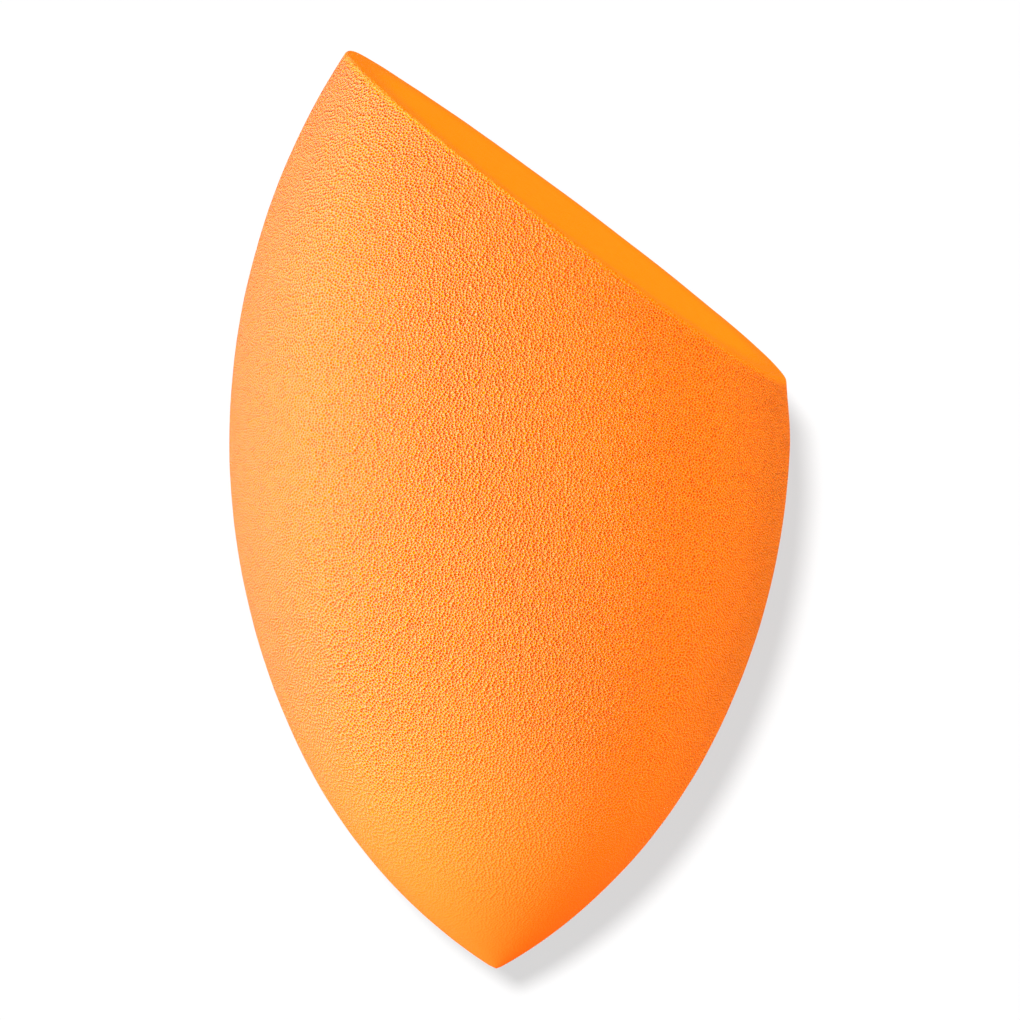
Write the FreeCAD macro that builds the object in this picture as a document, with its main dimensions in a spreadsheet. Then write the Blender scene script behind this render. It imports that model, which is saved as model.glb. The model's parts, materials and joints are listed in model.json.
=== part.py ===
import FreeCAD, Part
import math
import os
import Sketcher
from FreeCAD import Placement, Rotation, Vector

# Makeup sponge: one block of soft foam, shaped as an egg with a pointed tip and sliced off at a slant.
# It lies on its side: +Z is up, the tip points along -Y and the slanted face looks to +X and +Y.
# The origin is the middle of the patch where the foam flattens on the table.

# Driving dimensions as alias, value and meaning, with lengths in millimetres and angles in degrees.
SIZES = (
    ("girth_diameter", 40.0, "widest diameter of the egg"),
    ("flank_radius", 51.0, "arc of the sides, centred level with the girth"),
    ("nose_radius", 40.4, "tighter arc that runs in to the tip"),
    ("nose_turn_angle", 27.0, "where the nose arc takes over, turned from the girth about the flank's centre"),
    ("tip_radius", 0.3, "rounding of the pointed tip"),
    ("cut_height", 18.3, "from the girth to the slanted face, along the axis"),
    ("cut_slant_angle", 35.25, "slant of that face, from square to the axis"),
    ("rim_radius", 0.5, "rounding of the edge round the slanted face"),
    ("rest_pitch_angle", 7.5, "how far the tip dips when the sponge lies on its side"),
    ("rest_depth", 0.5, "how far the soft foam flattens where it lies"),
    ("overrun", 2.0, "how far a cut reaches past the foam"),
)

# Sizes that follow from the driving ones, written for the sheet's cells.
GIRTH_RADIUS = "sizes.girth_diameter / 2"
FLANK_OFFSET = f"(sizes.flank_radius - {GIRTH_RADIUS})"
REST_REACH = "(sizes.flank_radius - sizes.rest_depth)"
REST_SINE = "sin(sizes.rest_pitch_angle)"
REST_COSINE = "cos(sizes.rest_pitch_angle)"

# Numbers by which a sketch names the ends and middle of a curve, its own axes and its origin.
START, END, CENTRE = range(1, 4)
SIDE_AXIS, LONG_AXIS = range(-1, -3, -1)
SKETCH_ORIGIN = (SIDE_AXIS, START)

UP = Vector(0, 0, 1)


def make_sheet(doc):
    """The driving dimensions, one to a row: name, value and meaning."""
    sheet = doc.addObject("Spreadsheet::Sheet", "sizes")
    for row, (alias, value, meaning) in enumerate(SIZES, start=1):
        sheet.set(f"A{row}", alias)
        sheet.set(f"B{row}", str(value))
        sheet.set(f"C{row}", meaning)
        sheet.setAlias(f"B{row}", alias)
    doc.recompute()
    return sheet


def origin_plane(body, role):
    """One of the body's own base planes."""
    return next(plane for plane in body.Origin.OriginFeatures if plane.Role == role)


def new_sketch(body, name, role):
    """An empty sketch on one of the body's base planes."""
    sketch = body.newObject("Sketcher::SketchObject", name)
    sketch.AttachmentSupport = [(origin_plane(body, role), "")]
    sketch.MapMode = "FlatFace"
    return sketch


def constrain(sketch, kind, *places):
    return sketch.addConstraint(Sketcher.Constraint(kind, *places))


def bind(sketch, name, expression, kind, *places):
    """A named dimension of a sketch that follows the sheet."""
    index = constrain(sketch, kind, *places)
    sketch.renameConstraint(index, name)
    sketch.setExpression(f"Constraints.{name}", expression)


def arc(centre, radius, first, last):
    return Part.ArcOfCircle(Part.Circle(centre, UP, radius), first, last)


def draw_half_profile(body, sheet):
    """Half of the uncut egg: axis, flank arc, nose arc and the small arc at the tip, all tangent."""
    flank, nose, tip = sheet.flank_radius, sheet.nose_radius, sheet.tip_radius
    turn = math.radians(sheet.nose_turn_angle)
    flank_centre = Vector(sheet.girth_diameter / 2 - flank, 0, 0)
    join_way = Vector(math.cos(turn), -math.sin(turn), 0)
    nose_centre = flank_centre + join_way * (flank - nose)
    tip_drop = math.sqrt((nose - tip) ** 2 - nose_centre.x ** 2)
    tip_centre = Vector(0, nose_centre.y - tip_drop, 0)
    tip_way = math.atan2(-tip_drop, -nose_centre.x)
    top_way = math.acos(-flank_centre.x / flank)
    top_point = Vector(0, flank * math.sin(top_way), 0)
    lowest_point = tip_centre - Vector(0, tip, 0)

    sketch = new_sketch(body, "half_profile", "XZ_Plane")
    flank_arc = sketch.addGeometry(arc(flank_centre, flank, -turn, top_way))
    nose_arc = sketch.addGeometry(arc(nose_centre, nose, tip_way, -turn))
    tip_arc = sketch.addGeometry(arc(tip_centre, tip, -math.pi / 2, tip_way))
    axis_line = sketch.addGeometry(Part.LineSegment(lowest_point, top_point))
    join_line = sketch.addGeometry(Part.LineSegment(flank_centre, flank_centre + join_way * flank), True)

    constrain(sketch, "Tangent", flank_arc, START, nose_arc, END)
    constrain(sketch, "Tangent", nose_arc, START, tip_arc, END)
    constrain(sketch, "Coincident", axis_line, START, tip_arc, START)
    constrain(sketch, "Coincident", axis_line, END, flank_arc, END)
    constrain(sketch, "Coincident", join_line, START, flank_arc, CENTRE)
    constrain(sketch, "Coincident", join_line, END, flank_arc, START)
    constrain(sketch, "PointOnObject", flank_arc, CENTRE, SIDE_AXIS)
    constrain(sketch, "PointOnObject", tip_arc, CENTRE, LONG_AXIS)
    constrain(sketch, "PointOnObject", axis_line, START, LONG_AXIS)
    constrain(sketch, "PointOnObject", axis_line, END, LONG_AXIS)
    bind(sketch, "flank_radius", "sizes.flank_radius", "Radius", flank_arc, flank)
    bind(sketch, "nose_radius", "sizes.nose_radius", "Radius", nose_arc, nose)
    bind(sketch, "tip_radius", "sizes.tip_radius", "Radius", tip_arc, tip)
    bind(sketch, "flank_offset", FLANK_OFFSET,
         "DistanceX", flank_arc, CENTRE, *SKETCH_ORIGIN, -flank_centre.x)
    bind(sketch, "nose_turn", "-sizes.nose_turn_angle * 1 deg", "Angle", join_line, -turn)
    return sketch


def draw_disc(body, name, axis, angle, shift, radius):
    """A disc square to a tilted direction, wide enough to slice the foam along its plane."""
    sketch = new_sketch(body, name, "XY_Plane")
    sketch.AttachmentOffset = Placement(Vector(), Rotation(axis, 0))
    sketch.setExpression("AttachmentOffset.Rotation.Angle", f"({angle}) * 1 deg")
    for direction, distance in shift.items():
        sketch.setExpression(f"AttachmentOffset.Base.{direction}", f"({distance}) * 1 mm")
    disc = sketch.addGeometry(Part.Circle(Vector(), UP, body.Document.sizes.girth_diameter))
    constrain(sketch, "Coincident", disc, CENTRE, *SKETCH_ORIGIN)
    bind(sketch, "disc_radius", radius, "Radius", disc, body.Document.sizes.girth_diameter)
    return sketch


def slice_off(body, name, sketch):
    """Takes away the foam on the outer side of a disc."""
    before = body.Shape.Volume
    cut = body.newObject("PartDesign::Pocket", name)
    cut.Profile = sketch
    cut.Type = "ThroughAll"
    cut.Reversed = True
    body.Document.recompute()
    if not 0 < cut.Shape.Volume < before:
        raise RuntimeError(f"{name} takes no foam away")
    return cut


def rim_edges(feature):
    """Names of the edges round the only flat face."""
    flat = next(face for face in feature.Shape.Faces if isinstance(face.Surface, Part.Plane))
    edges = enumerate(feature.Shape.Edges, start=1)
    return [f"Edge{number}" for number, edge in edges if any(edge.isSame(rim) for rim in flat.Edges)]


def make_sponge(doc, sheet):
    """The whole sponge, turned about its axis, sliced, rounded and flattened where it lies."""
    body = doc.addObject("PartDesign::Body", "foam_sponge")
    body.Label = "foam_sponge"

    egg = body.newObject("PartDesign::Revolution", "egg")
    egg.Profile = draw_half_profile(body, sheet)
    egg.ReferenceAxis = (egg.Profile[0], ["V_Axis"])
    doc.recompute()

    slant = draw_disc(
        body, "slant_disc", Vector(0, 1, 0), "sizes.cut_slant_angle",
        {"z": "sizes.cut_height"},
        f"{GIRTH_RADIUS} / cos(sizes.cut_slant_angle) + sizes.overrun")
    slanted_face = slice_off(body, "slanted_face", slant)

    rim = body.newObject("PartDesign::Fillet", "rounded_rim")
    rim.Base = (slanted_face, rim_edges(slanted_face))
    rim.setExpression("Radius", "sizes.rim_radius")
    doc.recompute()

    rest = draw_disc(
        body, "rest_disc", Vector(-1, 0, 0), "90 + sizes.rest_pitch_angle",
        {"y": f"{REST_REACH} * {REST_COSINE} - {FLANK_OFFSET}", "z": f"-{REST_REACH} * {REST_SINE}"},
        "sqrt(2 * sizes.flank_radius * sizes.rest_depth) + sizes.overrun")
    slice_off(body, "resting_flat", rest)
    lay_down(body)
    doc.recompute()
    return body


def lay_down(body):
    """Turns the standing sponge onto its side, with the middle of its resting flat at the origin."""
    body.Placement = Placement(Vector(), Rotation(Vector(-1, 0, 0), 0))
    body.setExpression("Placement.Rotation.Angle", "(90 - sizes.rest_pitch_angle) * 1 deg")
    body.setExpression("Placement.Base.y", f"{FLANK_OFFSET} * {REST_SINE} * 1 mm")
    body.setExpression("Placement.Base.z", f"({REST_REACH} - {FLANK_OFFSET} * {REST_COSINE}) * 1 mm")


def check(doc, bodies):
    """Stops before anything is written if a step failed or a solid isn't sound."""
    for item in doc.Objects:
        if {"Invalid", "Error"} & set(item.State):
            raise RuntimeError(f"{item.Name} failed: {item.State}")
        if item.isDerivedFrom("Sketcher::SketchObject") and not item.FullyConstrained:
            raise RuntimeError(f"{item.Name} is not fully constrained")
    for body in bodies:
        shape = body.Shape
        if shape.isNull() or not shape.isValid() or len(shape.Solids) != 1:
            raise RuntimeError(f"{body.Label} is not one sound solid")


def main():
    doc = FreeCAD.newDocument("makeup_sponge")
    sheet = make_sheet(doc)
    bodies = [make_sponge(doc, sheet)]
    check(doc, bodies)
    os.makedirs("parts", exist_ok=True)
    for body in bodies:
        body.Shape.exportStep(f"parts/{body.Label}.step")
        box = body.Shape.BoundBox
        print(f"{body.Label}: {body.Shape.Volume:.1f} mm3, centre {body.Shape.CenterOfGravity}, {box}")


main()
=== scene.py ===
"""Makeup sponge: the foam's look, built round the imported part, with a plain white studio."""

import json
import math

import bpy
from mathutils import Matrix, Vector


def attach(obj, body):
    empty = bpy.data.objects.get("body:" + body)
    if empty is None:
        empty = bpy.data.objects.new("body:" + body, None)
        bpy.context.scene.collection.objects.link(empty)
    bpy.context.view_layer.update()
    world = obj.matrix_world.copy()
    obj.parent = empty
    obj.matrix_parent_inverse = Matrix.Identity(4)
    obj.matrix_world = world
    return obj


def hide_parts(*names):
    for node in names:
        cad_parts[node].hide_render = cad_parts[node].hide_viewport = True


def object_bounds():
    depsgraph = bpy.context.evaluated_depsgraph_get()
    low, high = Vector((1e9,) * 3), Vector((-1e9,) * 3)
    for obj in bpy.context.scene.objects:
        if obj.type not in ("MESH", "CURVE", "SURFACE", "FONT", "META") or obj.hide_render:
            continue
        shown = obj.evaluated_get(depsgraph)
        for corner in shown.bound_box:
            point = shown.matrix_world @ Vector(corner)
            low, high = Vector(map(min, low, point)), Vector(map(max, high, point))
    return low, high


bl_info = {
    "name": "Makeup Sponge",
    "version": (1, 0, 0),
    "blender": (4, 5, 0),
    "location": "View3D > Sidebar > Sponge",
    "description": "Builds a soft foam makeup sponge and a plain studio for it",
    "category": "Add Mesh",
}

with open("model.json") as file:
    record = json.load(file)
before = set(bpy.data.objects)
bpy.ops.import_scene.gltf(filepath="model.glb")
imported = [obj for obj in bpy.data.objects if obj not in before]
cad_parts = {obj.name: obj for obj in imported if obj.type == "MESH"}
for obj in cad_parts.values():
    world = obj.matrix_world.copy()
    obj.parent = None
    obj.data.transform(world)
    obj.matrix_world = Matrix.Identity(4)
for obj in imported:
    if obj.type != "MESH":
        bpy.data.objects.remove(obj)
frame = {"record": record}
CAD_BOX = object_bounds()
CAD_LOW, CAD_HIGH = CAD_BOX

MOUNTS = {mount["name"]: mount for mount in frame["record"]["mounts"]}
SLANTED_FACE = MOUNTS["slanted_face"]

PIECE = "blending_foam"
CAD_NODE = "foam_sponge"

# Names under which the mesh stores where its points lie.
FACE_MARK = "on_slanted_face"
RIM_MARK = "near_rim"
TIP_MARK = "near_tip"

# How sharply the lift and the draw gather at the ends of the slanted face.
END_SHARPNESS = 4.0
# Share of the face's smoothness that the rounded rim has, and the part of the rim over which it comes in.
RIM_SMOOTHNESS = 0.6
RIM_FADE = (0.3, 1.0)
# Points closer than this are made one, which closes the tip and the middle of the slanted face.
MERGE_DISTANCE = 1e-7
SWAY_DETAIL = 2.0

# Turn of the pore pattern, and how far from a pore's middle its painted pit shade fades out, as shares of the
# pore size.
PORE_TURN = math.radians(33.0)
PIT_SHADE_FADE = (0.1, 0.5)
MOTTLE_FADE = (0.3, 0.7)
MOTTLE_NOISE = {"Detail": 3.0, "Roughness": 0.7}

BLACK = (0.0, 0.0, 0.0)
WHITE = (1.0, 1.0, 1.0)
TABLE_REACH = 3.0
TABLE_ROUGHNESS = 0.9
LAMP_DISTANCE = 0.8
NEAREST_SEEN = 0.01


class SpongeShape(bpy.types.PropertyGroup):
    """Sizes of the turned and sliced foam."""

    girth_diameter: bpy.props.FloatProperty(
        name="Girth", description="Widest diameter of the egg",
        default=CAD_HIGH.x - CAD_LOW.x, min=0.01, unit="LENGTH")
    flank_radius: bpy.props.FloatProperty(
        name="Flank Arc", description="Radius of the side's arc, centred level with the girth",
        default=0.051, min=0.02, unit="LENGTH")
    nose_radius: bpy.props.FloatProperty(
        name="Nose Arc", description="Radius of the tighter arc that runs in to the tip",
        default=0.0404, min=0.02, unit="LENGTH")
    nose_turn: bpy.props.FloatProperty(
        name="Nose Turn",
        description="Where the nose arc takes over, turned from the girth about the flank's centre",
        default=math.radians(27.0), subtype="ANGLE")
    tip_rounding: bpy.props.FloatProperty(
        name="Tip Rounding", description="How much rounding shortens the sharp tip",
        default=0.0001, min=0.0, unit="LENGTH")
    rest_pitch: bpy.props.FloatProperty(
        name="Resting Pitch", description="How far the tip dips as the sponge lies on its side",
        default=math.radians(7.5), subtype="ANGLE")
    rim_radius: bpy.props.FloatProperty(
        name="Rim Rounding", description="Radius of the edge round the slanted face",
        default=0.00035, min=0.00005, unit="LENGTH")
    # This reach also sets the band that gets the painted rim highlight.
    rim_reach: bpy.props.FloatProperty(
        name="Rim Fuzz", description="How far the fuzzy foam reaches down from that edge",
        default=0.0003, min=0.0001, unit="LENGTH")
    high_end_lift: bpy.props.FloatProperty(
        name="High End Lift",
        description="How far the soft foam stands over the flat cut at the face's high end",
        default=0.0002, min=0.0, unit="LENGTH")
    low_end_draw: bpy.props.FloatProperty(
        name="Low End Draw", description="How far the foam draws in at the face's low end",
        default=0.00022, min=0.0, unit="LENGTH")
    draw_reach: bpy.props.FloatProperty(
        name="Draw Reach", description="How far from the edge of that face the foam draws in",
        default=0.0045, min=0.0001, unit="LENGTH")
    edge_fade: bpy.props.FloatProperty(
        name="Edge Fade", description="How far the open pores reach in over the slanted face",
        default=0.004, min=0.0001, unit="LENGTH")
    tip_reach: bpy.props.FloatProperty(
        name="Tip Reach", description="How far from the pointed tip the pores close up",
        default=0.026, min=0.0001, unit="LENGTH")
    rest_softness: bpy.props.FloatProperty(
        name="Resting Softness", description="Rounding round the flattened patch",
        default=0.0002, min=0.00001, unit="LENGTH")
    columns: bpy.props.IntProperty(
        name="Columns", description="Mesh cells round the girth", default=384, min=16, max=1024)
    flank_rows: bpy.props.IntProperty(
        name="Flank Rows", description="Mesh cells from the tip to the rim", default=190, min=8, max=1024)
    rim_rows: bpy.props.IntProperty(
        name="Rim Rows", description="Mesh cells over the rounded rim", default=8, min=2, max=32)
    face_rows: bpy.props.IntProperty(
        name="Face Rows", description="Mesh cells from the rim to the middle of the slanted face",
        default=48, min=2, max=512)
    sway_size: bpy.props.FloatProperty(
        name="Sway Size", description="Width of the ground foam's slight unevenness",
        default=0.006, min=0.0005, unit="LENGTH")
    sway_depth: bpy.props.FloatProperty(
        name="Sway Depth", description="Height of that unevenness", default=0.00004, min=0.0, unit="LENGTH")
    seed: bpy.props.FloatProperty(
        name="Seed", description="Moves the unevenness to another pattern", default=3.0)


class FoamFinish(bpy.types.PropertyGroup):
    """Colours and pores of the foam."""

    # Wall colour: the foam's orange with a painted whitish highlight and sheen on the ridges, paler than the
    # pores.
    lit_wall_colour: bpy.props.FloatVectorProperty(
        name="Cell Walls", description="Colour of the walls between the pores",
        default=(1.0, 0.47, 0.38), size=3, min=0.0, max=1.0, subtype="COLOR")
    # Pore colour: the foam's orange with painted shade, darker than the walls as the hollows would be in
    # shade.
    shaded_pore_colour: bpy.props.FloatVectorProperty(
        name="Pores", description="Colour inside the pores",
        default=(1.0, 0.225, 0.0), size=3, min=0.0, max=1.0, subtype="COLOR")
    # Pit colour: painted shade at the bottom of the pores, darkest at their middles.
    pit_shade_colour: bpy.props.FloatVectorProperty(
        name="Pits", description="Colour at the bottom of the deepest pores",
        default=(0.8, 0.06, 0.0), size=3, min=0.0, max=1.0, subtype="COLOR")
    face_colour: bpy.props.FloatVectorProperty(
        name="Slanted Face", description="Colour of the smooth sliced face",
        default=(1.0, 0.31, 0.003), size=3, min=0.0, max=1.0, subtype="COLOR")
    face_mottle: bpy.props.FloatVectorProperty(
        name="Face Mottle", description="Colour of the fine paler specks on that face",
        default=(1.0, 0.34, 0.012), size=3, min=0.0, max=1.0, subtype="COLOR")
    mottle_size: bpy.props.FloatProperty(
        name="Mottle Size", description="Distance between those specks",
        default=0.0006, min=0.0001, unit="LENGTH")
    tip_colour: bpy.props.FloatVectorProperty(
        name="Tip", description="Colour of the closed foam at the pointed tip",
        default=(1.0, 0.178, 0.02), size=3, min=0.0, max=1.0, subtype="COLOR")
    # Rim colour: frayed foam along the edge of that face, painted paler as a highlight where that edge
    # catches the light.
    rim_fuzz_highlight_colour: bpy.props.FloatVectorProperty(
        name="Rim Fuzz", description="Colour of the frayed walls along the edge of that face",
        default=(1.0, 0.42, 0.2), size=3, min=0.0, max=1.0, subtype="COLOR")
    pore_size: bpy.props.FloatProperty(
        name="Pore Size", description="Distance from one pore to the next",
        default=0.000185, min=0.00005, unit="LENGTH")
    pore_scatter: bpy.props.FloatProperty(
        name="Pore Scatter", description="How unevenly the pores are spaced",
        default=0.92, min=0.0, max=1.0, subtype="FACTOR")
    wall_width: bpy.props.FloatProperty(
        name="Wall Width", description="Half the width of a wall, as a share of the pore size",
        default=0.14, min=0.01, max=0.5, subtype="FACTOR")
    # Share of the pores that get the painted pit shade; in the bump they are no deeper than the others.
    pit_shade_share: bpy.props.FloatProperty(
        name="Pit Share", description="Share of the pores that are deeper than the others",
        default=0.7, min=0.01, max=1.0, subtype="FACTOR")
    pore_depth: bpy.props.FloatProperty(
        name="Pore Depth", description="Depth of a pore as wide as it is far from the next",
        default=0.00027, min=0.0, unit="LENGTH")
    face_smoothness: bpy.props.FloatProperty(
        name="Slanted Face Smoothness", description="How far the sliced face lacks the pores of the flank",
        default=0.9, min=0.0, max=1.0, subtype="FACTOR")
    tip_smoothness: bpy.props.FloatProperty(
        name="Tip Smoothness", description="How far the pores close up at the pointed tip",
        default=0.95, min=0.0, max=1.0, subtype="FACTOR")
    rim_softness: bpy.props.FloatProperty(
        name="Rim Softness", description="How far the pores fade along the edge of that face",
        default=0.6, min=0.0, max=1.0, subtype="FACTOR")
    roughness: bpy.props.FloatProperty(
        name="Roughness", description="How matt the foam is",
        default=0.8, min=0.0, max=1.0, subtype="FACTOR")
    pit_roughness: bpy.props.FloatProperty(
        name="Pit Roughness", description="How much rougher the deepest pores are",
        default=0.15, min=0.0, max=1.0, subtype="FACTOR")
    gloss: bpy.props.FloatProperty(
        name="Gloss", description="How much plain light the surface throws back",
        default=0.01, min=0.0, max=1.0, subtype="FACTOR")


class StudioStage(bpy.types.PropertyGroup):
    """Camera, floor and light."""

    camera_distance: bpy.props.FloatProperty(
        name="Camera Distance", description="Height of the camera over the sponge's axis",
        default=0.5, min=0.1, unit="LENGTH")
    frame_width: bpy.props.FloatProperty(
        name="Picture Width", description="Width that the picture shows at the sponge's axis",
        default=0.0728571, min=0.01, unit="LENGTH")
    picture_lean: bpy.props.FloatProperty(
        name="Picture Lean", description="How far the sponge leans to the right in the picture",
        default=math.radians(1.484), subtype="ANGLE")
    aim_x: bpy.props.FloatProperty(
        name="Aim Across", description="Place that the camera looks down on, to the right",
        default=0.00015, unit="LENGTH")
    aim_y: bpy.props.FloatProperty(
        name="Aim Along", description="Place that the camera looks down on, away from the tip",
        default=-0.00142, unit="LENGTH")
    aim_height: bpy.props.FloatProperty(
        name="Aim Height", description="Height of the sponge's axis, at which the softboxes point",
        default=0.01934, min=0.0, unit="LENGTH")
    table_colour: bpy.props.FloatVectorProperty(
        name="Table", description="Shade of the table under the light that it gets, without its glow",
        default=(0.08, 0.08, 0.08), size=3, min=0.0, max=1.0, subtype="COLOR")
    table_glow: bpy.props.FloatProperty(
        name="Table Glow", description="White that the table adds to what the camera sees",
        default=0.66, min=0.0, max=1.0, subtype="FACTOR")
    table_light: bpy.props.FloatProperty(
        name="Table Light", description="Light from above that casts the shadow on the table",
        default=4.3, min=0.0)
    shadow_side: bpy.props.FloatProperty(
        name="Shadow Side", description="Where that light stands, turned from the right of the picture",
        default=math.radians(125.0), subtype="ANGLE")
    shadow_lean: bpy.props.FloatProperty(
        name="Shadow Lean", description="How far that light stands from overhead",
        default=math.radians(11.3), subtype="ANGLE")
    shadow_spread: bpy.props.FloatProperty(
        name="Shadow Spread",
        description="Width of that light as the table sees it, which softens the shadow",
        default=math.radians(5.5), subtype="ANGLE")
    room_light: bpy.props.FloatProperty(
        name="Room Light", description="Even light from all round", default=0.15, min=0.0)
    key_light: bpy.props.FloatProperty(
        name="Key Light", description="Softbox at the left", default=1.32, min=0.0)
    key_side: bpy.props.FloatProperty(
        name="Key Side", description="Where that softbox stands, turned from the right of the picture",
        default=math.radians(185.0), subtype="ANGLE")
    key_height: bpy.props.FloatProperty(
        name="Key Height", description="How far that softbox stands over the table's level",
        default=math.radians(35.0), subtype="ANGLE")
    key_width: bpy.props.FloatProperty(
        name="Key Width", description="Side of that softbox", default=0.25, min=0.01, unit="LENGTH")
    top_light: bpy.props.FloatProperty(
        name="Top Light", description="Warm softbox high over the sponge", default=1.2, min=0.0)
    top_side: bpy.props.FloatProperty(
        name="Top Side", description="Where that softbox stands, turned from the right of the picture",
        default=math.radians(185.0), subtype="ANGLE")
    top_height: bpy.props.FloatProperty(
        name="Top Height", description="How far that softbox stands over the table's level",
        default=math.radians(70.0), subtype="ANGLE")
    top_width: bpy.props.FloatProperty(
        name="Top Width", description="Side of that softbox", default=0.2, min=0.01, unit="LENGTH")
    top_colour: bpy.props.FloatVectorProperty(
        name="Top Colour", description="Colour of that softbox",
        default=(1.0, 0.62, 0.12), size=3, min=0.0, max=1.0, subtype="COLOR")
    edge_light: bpy.props.FloatProperty(
        name="Edge Light", description="Softbox close to the table at the left", default=1.15, min=0.0)
    edge_side: bpy.props.FloatProperty(
        name="Edge Side", description="Where that softbox stands, turned from the right of the picture",
        default=math.radians(180.0), subtype="ANGLE")
    edge_height: bpy.props.FloatProperty(
        name="Edge Height", description="How far that softbox stands over the table's level",
        default=math.radians(5.0), subtype="ANGLE")
    edge_width: bpy.props.FloatProperty(
        name="Edge Width", description="Side of that softbox", default=0.6, min=0.01, unit="LENGTH")
    fill_light: bpy.props.FloatProperty(
        name="Fill Light", description="Warm softbox at the right", default=1.3, min=0.0)
    fill_side: bpy.props.FloatProperty(
        name="Fill Side", description="Where that softbox stands, turned from the right of the picture",
        default=math.radians(40.0), subtype="ANGLE")
    fill_height: bpy.props.FloatProperty(
        name="Fill Height", description="How far that softbox stands over the table's level",
        default=math.radians(5.7), subtype="ANGLE")
    fill_width: bpy.props.FloatProperty(
        name="Fill Width", description="Side of that softbox", default=0.3, min=0.01, unit="LENGTH")
    fill_colour: bpy.props.FloatVectorProperty(
        name="Fill Colour", description="Colour of that softbox and of the one in front of the tip",
        default=(1.0, 0.68, 0.04), size=3, min=0.0, max=1.0, subtype="COLOR")
    low_light: bpy.props.FloatProperty(
        name="Low Light", description="Warm softbox in front of the tip", default=0.85, min=0.0)
    low_side: bpy.props.FloatProperty(
        name="Low Side", description="Where that softbox stands, turned from the right of the picture",
        default=math.radians(312.0), subtype="ANGLE")
    low_height: bpy.props.FloatProperty(
        name="Low Height", description="How far that softbox stands over the table's level",
        default=math.radians(8.0), subtype="ANGLE")
    low_width: bpy.props.FloatProperty(
        name="Low Width", description="Side of that softbox", default=0.3, min=0.01, unit="LENGTH")


class Wire:
    """A socket of a node tree. Arithmetic on it adds Math or Vector Math nodes."""

    def __init__(self, nodes, socket):
        self.nodes = nodes
        self.socket = socket

    @property
    def is_vector(self):
        return self.socket.type in {"VECTOR", "RGBA"}

    def maths(self, operation, *values):
        """A Math node on values in order, or a Vector Math node if one of them is a vector."""
        vector = any(getattr(value, "is_vector", isinstance(value, (tuple, Vector))) for value in values)
        kind = "ShaderNodeVectorMath" if vector else "ShaderNodeMath"
        if vector:
            values = [(value,) * 3 if isinstance(value, (int, float)) else value for value in values]
        return self.nodes.add(kind, {"operation": operation}, dict(enumerate(values)))

    def __add__(self, other):
        return self.maths("ADD", self, other)

    def __radd__(self, other):
        return self.maths("ADD", other, self)

    def __sub__(self, other):
        return self.maths("SUBTRACT", self, other)

    def __rsub__(self, other):
        return self.maths("SUBTRACT", other, self)

    def __mul__(self, other):
        return self.maths("MULTIPLY", self, other)

    def __rmul__(self, other):
        return self.maths("MULTIPLY", other, self)

    def __truediv__(self, other):
        return self.maths("DIVIDE", self, other)

    def __rtruediv__(self, other):
        return self.maths("DIVIDE", other, self)

    def __pow__(self, other):
        return self.maths("POWER", self, other)

    def __rpow__(self, other):
        return self.maths("POWER", other, self)


class Nodes:
    """Adds nodes to one tree."""

    COLUMN = 180

    def __init__(self, tree):
        self.tree = tree

    def add(self, kind, settings=None, inputs=None, output=0):
        """One node of a type, with its settings and its sockets' values or links. Goes on with one output."""
        node = self.tree.nodes.new(kind)
        node.location.x = self.COLUMN * len(self.tree.nodes)
        for name, value in (settings or {}).items():
            setattr(node, name, value)
        self.feed(node, inputs or {})
        return Wire(self, node.outputs[output]) if node.outputs else node

    def feed(self, node, inputs):
        """Sets a node's sockets, each by a link from a wire or by a plain value."""
        for key, value in inputs.items():
            if isinstance(value, Wire):
                self.tree.links.new(value.socket, node.inputs[key])
            else:
                node.inputs[key].default_value = value

    def split(self, vector):
        """The three numbers of a vector."""
        node = self.add("ShaderNodeSeparateXYZ", None, {0: vector}).socket.node
        return [Wire(self, socket) for socket in node.outputs]

    def blend(self, share, first, last):
        """A colour that goes from first to last as share goes from 0 to 1."""
        colours = [colour if isinstance(colour, Wire) else (*colour, 1.0) for colour in (first, last)]
        return self.add(
            "ShaderNodeMix", {"data_type": "RGBA"},
            {"Factor": share, 6: colours[0], 7: colours[1]}, output=2)

    def ramp(self, value, low, high):
        """A smooth step from 0 to 1 as value goes from low to high."""
        return self.add(
            "ShaderNodeMapRange", {"interpolation_type": "SMOOTHSTEP"},
            {"Value": value, "From Min": low, "From Max": high})

    def clamp(self, value):
        """A number kept between 0 and 1."""
        return self.add("ShaderNodeClamp", None, {"Value": value})


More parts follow.
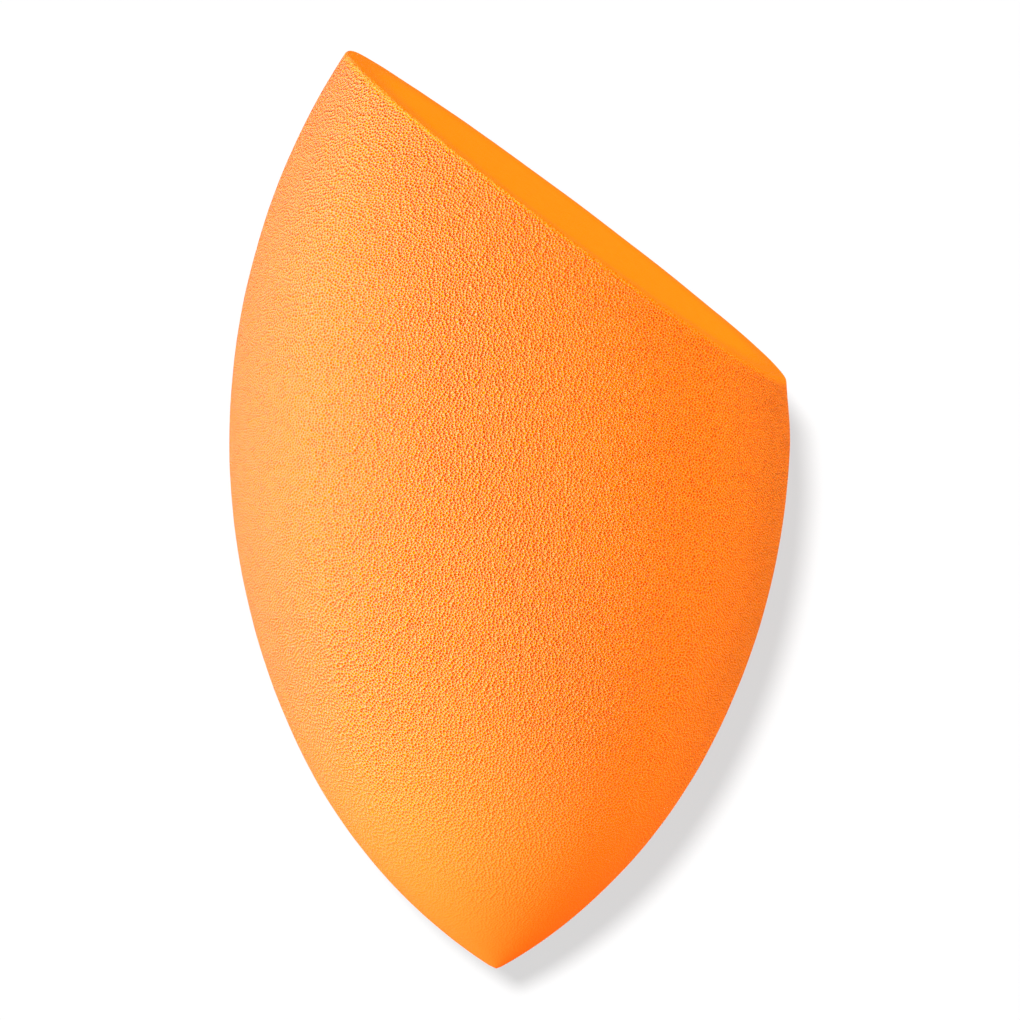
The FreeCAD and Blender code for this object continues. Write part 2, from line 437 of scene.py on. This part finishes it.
class GeometryTree(Nodes):
    """A geometry tree with named inputs."""

    SOCKETS = {float: "NodeSocketFloat", int: "NodeSocketInt", Vector: "NodeSocketVector"}

    def __init__(self, name, inputs):
        super().__init__(bpy.data.node_groups.new(name, "GeometryNodeTree"))
        self.identifiers = {}
        for label, value in inputs.items():
            kind = self.SOCKETS.get(type(value), "NodeSocketMaterial")
            socket = self.tree.interface.new_socket(name=label, in_out="INPUT", socket_type=kind)
            self.identifiers[label] = socket.identifier
        self.tree.interface.new_socket(name="Geometry", in_out="OUTPUT", socket_type="NodeSocketGeometry")
        group = self.tree.nodes.new("NodeGroupInput")
        self.inputs = {label: Wire(self, group.outputs[label]) for label in inputs}
        self.values = inputs

    def finish(self, geometry, material):
        """Ends the tree with real geometry that wears the material."""
        realized = self.add("GeometryNodeRealizeInstances", None, {"Geometry": geometry})
        dressed = self.add("GeometryNodeSetMaterial", None, {"Geometry": realized, "Material": material})
        self.add("NodeGroupOutput", None, {"Geometry": dressed})

    def make_piece(self, name):
        """A plain mesh object from the tree's result."""
        carrier = bpy.data.objects.new(name + "_carrier", bpy.data.meshes.new(name + "_carrier"))
        bpy.context.scene.collection.objects.link(carrier)
        modifier = carrier.modifiers.new(name, "NODES")
        modifier.node_group = self.tree
        for label, value in self.values.items():
            modifier[self.identifiers[label]] = value
        graph = bpy.context.evaluated_depsgraph_get()
        mesh = bpy.data.meshes.new_from_object(carrier.evaluated_get(graph))
        mesh.name = name
        mesh.materials.pop(index=0)
        carrier.modifiers.remove(modifier)
        bpy.data.objects.remove(carrier)
        if not mesh.polygons:
            raise RuntimeError(f"{name} came out empty")
        piece = bpy.data.objects.new(name, mesh)
        bpy.context.scene.collection.objects.link(piece)
        return piece


def shape_inputs(shape, material):
    """The geometry tree's named inputs, worked out from the driving sizes and the frame."""
    girth = shape.girth_diameter / 2
    flank, nose, turn = shape.flank_radius, shape.nose_radius, shape.nose_turn
    flank_offset = flank - girth
    nose_offset = flank_offset - (flank - nose) * math.cos(turn)
    nose_drop = (flank - nose) * math.sin(turn)
    axis = Vector((0, math.cos(shape.rest_pitch), math.sin(shape.rest_pitch)))
    girth_centre = Vector((0, flank_offset * axis.z, CAD_HIGH.z - flank + flank_offset * axis.y))
    face_normal = Vector(SLANTED_FACE["axis"]).normalized()
    face_reach = (Vector(SLANTED_FACE["pos_m"]) - girth_centre).dot(face_normal)
    return {
        "Columns": shape.columns,
        "Flank Rows": shape.flank_rows,
        "Rim Rows": shape.rim_rows,
        "Face Rows": shape.face_rows,
        "Flank Radius": flank,
        "Flank Offset": flank_offset,
        "Nose Radius": nose,
        "Nose Offset": nose_offset,
        "Nose Drop": nose_drop,
        "Join Level": -flank * math.sin(turn),
        "Tip Drop": nose_drop + math.sqrt(nose ** 2 - nose_offset ** 2),
        "Tip Rounding": shape.tip_rounding,
        "Cut Height": face_reach / axis.dot(face_normal),
        "Cut Slope": face_normal.x / axis.dot(face_normal),
        "Rim Radius": shape.rim_radius,
        "Rim Reach": shape.rim_reach,
        "High End Lift": shape.high_end_lift,
        "Low End Draw": shape.low_end_draw,
        "Draw Reach": shape.draw_reach,
        "Edge Fade": shape.edge_fade,
        "Tip Reach": shape.tip_reach,
        "Lying Turn": shape.rest_pitch - math.pi / 2,
        "Girth Centre": girth_centre,
        "Rest Softness": shape.rest_softness,
        "Sway Size": shape.sway_size,
        "Sway Depth": shape.sway_depth,
        "Seed": shape.seed,
        "Foam": material,
    }


def square_root(tree, value):
    return tree.add("ShaderNodeMath", {"operation": "SQRT"}, {0: value})


def pick(share, first, last):
    """First where share is 0, last where it is 1."""
    return first + (last - first) * share


def positive(tree, value):
    """A number, or 0 where it is less."""
    return tree.add("ShaderNodeMath", {"operation": "MAXIMUM"}, {0: value, 1: 0.0})


def arc_reach(tree, radius, level):
    """How far an arc reaches out from its centre, at a level above or below it."""
    return square_root(tree, positive(tree, radius * radius - level * level))


def flank_point(tree, size, level):
    """Distance from the axis and height on the uncut egg's profile, blunted at the tip."""
    flank = arc_reach(tree, size["Flank Radius"], level) - size["Flank Offset"]
    nose = arc_reach(tree, size["Nose Radius"], level + size["Nose Drop"]) - size["Nose Offset"]
    in_nose = tree.add("ShaderNodeMath", {"operation": "LESS_THAN"}, {0: level, 1: size["Join Level"]})
    station = level + size["Tip Drop"]
    blunt = square_root(tree, station * station + size["Tip Rounding"] * size["Tip Rounding"])
    return pick(in_nose, flank, nose), blunt - size["Tip Drop"]


class Rim:
    """Where the slanted cut meets the flank in one column, and the ends of the rounding there."""

    def __init__(self, tree, size, slope, lift):
        flank, offset, cut = size["Flank Radius"], size["Flank Offset"], size["Cut Height"] + lift
        stretch = 1.0 + slope * slope
        lean = offset - cut * slope
        spare = flank * flank - offset * offset - cut * cut
        self.reach = (square_root(tree, lean * lean + stretch * spare) - lean) / stretch
        self.level = cut - slope * self.reach

        rise = self.level / flank
        run = square_root(tree, 1.0 - rise * rise)
        length = square_root(tree, stretch)
        turn_cosine = (rise + slope * run) / length
        self.weight = square_root(tree, (1.0 + turn_cosine) / 2.0)
        inset = size["Rim Radius"] * square_root(tree, (1.0 - turn_cosine) / (1.0 + turn_cosine))
        self.flank_level = self.level - inset * run
        self.flank_reach = arc_reach(tree, flank, self.flank_level) - offset
        self.face_reach = self.reach - inset / length
        self.face_level = cut - slope * self.face_reach

    def rounded(self, share):
        """Distance from the axis and height on the rounding, from the flank's end to the face's."""
        rest = 1.0 - share
        pulls = rest * rest, self.weight * share * rest * 2.0, share * share
        total = pulls[0] + pulls[1] + pulls[2]
        reach = pulls[0] * self.flank_reach + pulls[1] * self.reach + pulls[2] * self.face_reach
        level = pulls[0] * self.flank_level + pulls[1] * self.level + pulls[2] * self.face_level
        return reach / total, level / total


def make_foam_mesh(shape, material):
    """The foam as one closed mesh: an egg turned about its axis, sliced, laid down and flattened."""
    tree = GeometryTree("turned_and_sliced_foam", shape_inputs(shape, material))
    size = tree.inputs
    rows = size["Flank Rows"] + size["Rim Rows"] + size["Face Rows"]
    tube = tree.add(
        "GeometryNodeMeshCylinder", {"fill_type": "NONE"},
        {"Vertices": size["Columns"], "Side Segments": rows, "Radius": 1.0, "Depth": 2.0}, output="Mesh")
    across, along, up = tree.split(tree.add("GeometryNodeInputPosition"))
    row = (up + 1.0) / 2.0 * rows
    flank_share = tree.clamp(row / size["Flank Rows"])
    rim_share = tree.clamp((row - size["Flank Rows"]) / size["Rim Rows"])
    face_share = tree.clamp((row - size["Flank Rows"] - size["Rim Rows"]) / size["Face Rows"])

    slope = size["Cut Slope"] * across
    low_end = positive(tree, across) ** END_SHARPNESS
    high_end = positive(tree, across * -1.0) ** END_SHARPNESS
    lift = high_end * size["High End Lift"]
    rim = Rim(tree, size, slope, lift)
    level = flank_share * (rim.flank_level + size["Tip Drop"]) - size["Tip Drop"]
    flank = flank_point(tree, size, level)
    rounding = rim.rounded(rim_share)
    face_rest = 1.0 - face_share
    face_reach = rim.face_reach * face_rest
    face = face_reach, size["Cut Height"] + lift * face_rest * face_rest - slope * face_reach
    past_flank = tree.add("ShaderNodeMath", {"operation": "GREATER_THAN"}, {0: rim_share, 1: 0.0})
    past_rim = tree.add("ShaderNodeMath", {"operation": "GREATER_THAN"}, {0: face_share, 1: 0.0})
    reach, height = (
        pick(past_rim, pick(past_flank, first, second), third)
        for first, second, third in zip(flank, rounding, face))

    on_rim = tree.ramp(rim_share, *RIM_FADE)
    on_face = tree.ramp(rim.face_reach - face_reach, 0.0, size["Edge Fade"]) * past_rim
    from_rim = (rim.flank_level - level) + (rim.face_reach - face_reach) * past_rim
    draw = low_end * size["Low End Draw"] * (1.0 - tree.ramp(from_rim, 0.0, size["Draw Reach"]))
    reach = reach - draw
    height = height + slope * draw
    marks = {
        FACE_MARK: on_rim * RIM_SMOOTHNESS + on_face * (1.0 - RIM_SMOOTHNESS),
        # Near the rim: where the pores fade and the painted rim highlight goes.
        RIM_MARK: 1.0 - tree.ramp(from_rim, 0.0, size["Rim Reach"]),
        TIP_MARK: 1.0 - tree.ramp(level + size["Tip Drop"], 0.0, size["Tip Reach"])}
    for name, value in marks.items():
        tube = tree.add(
            "GeometryNodeStoreNamedAttribute", {"data_type": "FLOAT", "domain": "POINT"},
            {"Geometry": tube, "Name": name, "Value": value})

    standing = tree.add("ShaderNodeCombineXYZ", None, {0: across * reach, 1: along * reach, 2: height})
    lying = tree.add(
        "ShaderNodeVectorRotate", {"rotation_type": "X_AXIS"},
        {"Vector": standing, "Angle": size["Lying Turn"]})
    x, y, z = tree.split(lying + size["Girth Centre"])
    resting = tree.add(
        "ShaderNodeMath", {"operation": "SMOOTH_MAX"}, {0: z, 1: 0.0, 2: size["Rest Softness"]})
    place = tree.add("ShaderNodeCombineXYZ", None, {0: x, 1: y, 2: resting})
    shaped = tree.add("GeometryNodeSetPosition", None, {"Geometry": tube, "Position": place})
    closed = tree.add("GeometryNodeMergeByDistance", None, {"Geometry": shaped, "Distance": MERGE_DISTANCE})

    place = tree.add("GeometryNodeInputPosition") / size["Sway Size"] + size["Seed"]
    sway = tree.add(
        "ShaderNodeTexNoise", {"noise_dimensions": "3D"},
        {"Vector": place, "Scale": 1.0, "Detail": SWAY_DETAIL}) - 0.5
    lifted = tree.split(tree.add("GeometryNodeInputPosition"))[2]
    off_table = tree.ramp(lifted, 0.0, size["Sway Size"])
    outward = tree.add("GeometryNodeInputNormal") * (sway * off_table * size["Sway Depth"] * 2.0)
    swayed = tree.add("GeometryNodeSetPosition", None, {"Geometry": closed, "Offset": outward})
    smooth = tree.add("GeometryNodeSetShadeSmooth", None, {"Geometry": swayed})
    tree.finish(smooth, size["Foam"])
    return tree.make_piece(PIECE)


def spread_flat(tree):
    """Object coordinates of the surface as seen square on, from the side that it faces most."""
    x, y, z = tree.split(tree.add("ShaderNodeTexCoord", output="Object"))
    facing = tree.split(tree.add("ShaderNodeTexCoord", output="Normal"))
    across, along, up = (
        tree.add("ShaderNodeMath", {"operation": "ABSOLUTE"}, {0: part}) for part in facing)
    sideways = tree.add("ShaderNodeMath", {"operation": "GREATER_THAN"}, {0: across, 1: up})
    widest = tree.add("ShaderNodeMath", {"operation": "MAXIMUM"}, {0: across, 1: up})
    endways = tree.add("ShaderNodeMath", {"operation": "GREATER_THAN"}, {0: along, 1: widest})
    first = pick(endways, pick(sideways, x, y), x)
    second = pick(endways, pick(sideways, y, z), z)
    cosine, sine = math.cos(PORE_TURN), math.sin(PORE_TURN)
    return tree.add(
        "ShaderNodeCombineXYZ", None,
        {0: first * cosine - second * sine, 1: first * sine + second * cosine})


def foam_material(finish):
    """Matt orange foam, with fine pores painted darker than the walls between them as the shade in their
    hollows, walls painted pale as lit ridges, and a painted highlight along the rim of the slanted face.
    """
    material = bpy.data.materials.new("orange_foam")
    material.use_nodes = True
    tree = Nodes(material.node_tree)
    shader = material.node_tree.nodes["Principled BSDF"]
    place = spread_flat(tree)
    on_face, near_rim, near_tip = (
        tree.add(
            "ShaderNodeAttribute", {"attribute_type": "GEOMETRY", "attribute_name": mark}, output="Fac")
        for mark in (FACE_MARK, RIM_MARK, TIP_MARK))
    smooth_share = on_face * finish.face_smoothness
    closed_share = near_tip * finish.tip_smoothness
    open_share = (1.0 - near_rim * finish.rim_softness) * (1.0 - closed_share)

    cells = {"Vector": place, "Scale": 1.0 / finish.pore_size, "Randomness": finish.pore_scatter}
    edge = tree.add(
        "ShaderNodeTexVoronoi", {"feature": "DISTANCE_TO_EDGE", "voronoi_dimensions": "2D"},
        cells, output="Distance")
    nearest = tree.add("ShaderNodeTexVoronoi", {"feature": "F1", "voronoi_dimensions": "2D"}, cells)
    middle = Wire(tree, nearest.socket.node.outputs["Distance"])
    chance = tree.split(Wire(tree, nearest.socket.node.outputs["Color"]))[0]
    wall = 1.0 - tree.ramp(edge, 0.0, finish.wall_width)
    # Pores that get the painted pit shade, darkest at their middles.
    gets_pit_shade = tree.ramp(chance, 1.0 - finish.pit_shade_share, 1.0)
    pit_shade_mask = gets_pit_shade * (1.0 - tree.ramp(middle, *PIT_SHADE_FADE)) * open_share

    # Walls along the rim take the painted rim highlight.
    pale = tree.blend(near_rim, finish.lit_wall_colour, finish.rim_fuzz_highlight_colour)
    # Painted shade: pores darker than the lit walls, and the painted pit shade darker still.
    colour = tree.blend(wall, finish.shaded_pore_colour, pale)
    colour = tree.blend(pit_shade_mask, colour, finish.pit_shade_colour)
    mottle = tree.add(
        "ShaderNodeTexNoise", {"noise_dimensions": "2D"},
        {"Vector": place, "Scale": 1.0 / finish.mottle_size, **MOTTLE_NOISE})
    sliced = tree.blend(tree.ramp(mottle, *MOTTLE_FADE), finish.face_colour, finish.face_mottle)
    colour = tree.blend(closed_share, colour, finish.tip_colour)
    colour = tree.blend(smooth_share, colour, sliced)
    height = middle * finish.pore_depth * (1.0 - smooth_share) * open_share
    bump = tree.add("ShaderNodeBump", None, {"Height": height, "Distance": 1.0, "Strength": 1.0})
    tree.feed(shader, {
        "Base Color": colour,
        "Normal": bump,
        "Roughness": finish.roughness + pit_shade_mask * finish.pit_roughness,
        "Specular IOR Level": finish.gloss})
    return material


class SPONGE_OT_make_foam(bpy.types.Operator):
    """Make the sponge from one block of soft foam"""

    bl_idname = "sponge.make_foam"
    bl_label = "Foam Sponge"

    def execute(self, context):
        piece = make_foam_mesh(context.scene.sponge_shape, foam_material(context.scene.foam_finish))
        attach(piece, "root")
        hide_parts(CAD_NODE)
        return {"FINISHED"}


def only(item):
    """A collection of one object, for a light to fall on that alone."""
    collection = bpy.data.collections.new("lit_" + item.name)
    collection.objects.link(item)
    return collection


def add_lamp(light, way, distance, target, lit):
    """A lamp that looks at a point from one direction, and lights only what a collection holds."""
    lamp = bpy.data.objects.new(light.name, light)
    lamp.location = target + way * distance
    lamp.rotation_mode = "QUATERNION"
    lamp.rotation_quaternion = way.to_track_quat("Z", "Y")
    lamp.visible_camera = False
    lamp.light_linking.receiver_collection = lit
    bpy.context.scene.collection.objects.link(lamp)


def add_softbox(name, way, level, width, colour, target, lit):
    """A square softbox, at a level of 1 as bright as a plain white room."""
    light = bpy.data.lights.new(name, "AREA")
    light.shape = "SQUARE"
    light.size = width
    light.color = colour
    light.energy = level * (math.pi * LAMP_DISTANCE) ** 2
    add_lamp(light, way, LAMP_DISTANCE, target, lit)


def direction(side, up):
    """A unit vector, turned from the right of the picture and lifted from the table's level."""
    return Vector((math.cos(side) * math.cos(up), math.sin(side) * math.cos(up), math.sin(up)))


def add_softboxes(stage, lit):
    """White light at the left, warm light from overhead and at the right."""
    colours = {
        "key": WHITE,
        "top": stage.top_colour,
        "edge": WHITE,
        "fill": stage.fill_colour,
        "low": stage.fill_colour}
    target = Vector((0.0, 0.0, stage.aim_height))
    for name, colour in colours.items():
        level, side, height, width = (
            getattr(stage, f"{name}_{part}") for part in ("light", "side", "height", "width"))
        add_softbox(f"{name}_light", direction(side, height), level, width, colour, target, lit)


def add_table_light(stage, table):
    """Light from nearly overhead, which leaves a narrow shadow at the lower right."""
    light = bpy.data.lights.new("table_light", "SUN")
    light.energy = math.pi * stage.table_light
    light.angle = stage.shadow_spread
    way = direction(stage.shadow_side, math.pi / 2 - stage.shadow_lean)
    add_lamp(light, way, 1.0, Vector(), only(table))


def seen_directly(tree):
    """1 where the camera sees a surface itself, in a mirror or through glass, and 0 for other light."""
    path = tree.add("ShaderNodeLightPath").socket.node.outputs
    rays = [Wire(tree, path[name]) for name in ("Is Camera Ray", "Is Glossy Ray", "Is Transmission Ray")]
    both = tree.add("ShaderNodeMath", {"operation": "MAXIMUM"}, {0: rays[0], 1: rays[1]})
    return tree.add("ShaderNodeMath", {"operation": "MAXIMUM"}, {0: both, 1: rays[2]})


def add_table(stage):
    """A wide table top, white to the camera where the light falls on it."""
    mesh = bpy.data.meshes.new("white_table")
    signs = ((-1, -1), (1, -1), (1, 1), (-1, 1))
    corners = [(across * TABLE_REACH, along * TABLE_REACH, 0) for across, along in signs]
    mesh.from_pydata(corners, [], [(0, 1, 2, 3)])
    table = bpy.data.objects.new("white_table", mesh)
    bpy.context.scene.collection.objects.link(table)
    material = bpy.data.materials.new("white_table")
    material.use_nodes = True
    tree = Nodes(material.node_tree)
    shader = material.node_tree.nodes["Principled BSDF"]
    tree.feed(shader, {
        "Emission Color": tree.blend(seen_directly(tree), BLACK, (stage.table_glow,) * 3),
        "Emission Strength": 1.0,
        "Base Color": (*stage.table_colour, 1.0),
        "Roughness": TABLE_ROUGHNESS,
        "Specular IOR Level": 0.0})
    mesh.materials.append(material)
    return table


def add_room(stage):
    """Even light from all round, white where the camera looks past the table."""
    world = bpy.data.worlds.new("studio")
    world.use_nodes = True
    tree = Nodes(world.node_tree)
    shade = tree.blend(seen_directly(tree), (stage.room_light,) * 3, WHITE)
    tree.feed(world.node_tree.nodes["Background"], {"Color": shade, "Strength": 1.0})
    bpy.context.scene.world = world


def add_camera(stage):
    """A camera that looks straight down on the lying sponge."""
    lens = bpy.data.cameras.new("camera")
    lens.lens = lens.sensor_width * stage.camera_distance / stage.frame_width
    lens.clip_start = NEAREST_SEEN
    camera = bpy.data.objects.new("camera", lens)
    camera.location = (stage.aim_x, stage.aim_y, stage.aim_height + stage.camera_distance)
    camera.rotation_euler = (0.0, 0.0, stage.picture_lean)
    bpy.context.scene.collection.objects.link(camera)
    bpy.context.scene.camera = camera


class SPONGE_OT_make_stage(bpy.types.Operator):
    """Make the camera, the white table and the soft light"""

    bl_idname = "sponge.make_stage"
    bl_label = "Studio"

    def execute(self, context):
        stage = context.scene.studio_stage
        table = add_table(stage)
        add_camera(stage)
        add_room(stage)
        add_table_light(stage, table)
        add_softboxes(stage, only(bpy.data.objects[PIECE]))
        context.scene.view_settings.view_transform = "Standard"
        return {"FINISHED"}


class SPONGE_PT_panel(bpy.types.Panel):
    """Sizes, colours and steps of the sponge"""

    bl_idname = "SPONGE_PT_panel"
    bl_label = "Makeup Sponge"
    bl_space_type = "VIEW_3D"
    bl_region_type = "UI"
    bl_category = "Sponge"

    def draw(self, context):
        for group, operator in (
                (context.scene.sponge_shape, None),
                (context.scene.foam_finish, SPONGE_OT_make_foam),
                (context.scene.studio_stage, SPONGE_OT_make_stage)):
            column = self.layout.column(align=True)
            for name in group.__annotations__:
                column.prop(group, name)
            if operator:
                self.layout.operator(operator.bl_idname)


CLASSES = (SpongeShape, FoamFinish, StudioStage, SPONGE_OT_make_foam, SPONGE_OT_make_stage, SPONGE_PT_panel)
GROUPS = {"sponge_shape": SpongeShape, "foam_finish": FoamFinish, "studio_stage": StudioStage}


def register():
    for item in CLASSES:
        bpy.utils.register_class(item)
    for name, group in GROUPS.items():
        setattr(bpy.types.Scene, name, bpy.props.PointerProperty(type=group))


def unregister():
    for name in GROUPS:
        delattr(bpy.types.Scene, name)
    for item in reversed(CLASSES):
        bpy.utils.unregister_class(item)


def main():
    register()
    bpy.ops.sponge.make_foam()
    bpy.ops.sponge.make_stage()


if __name__ == "__main__":
    main()
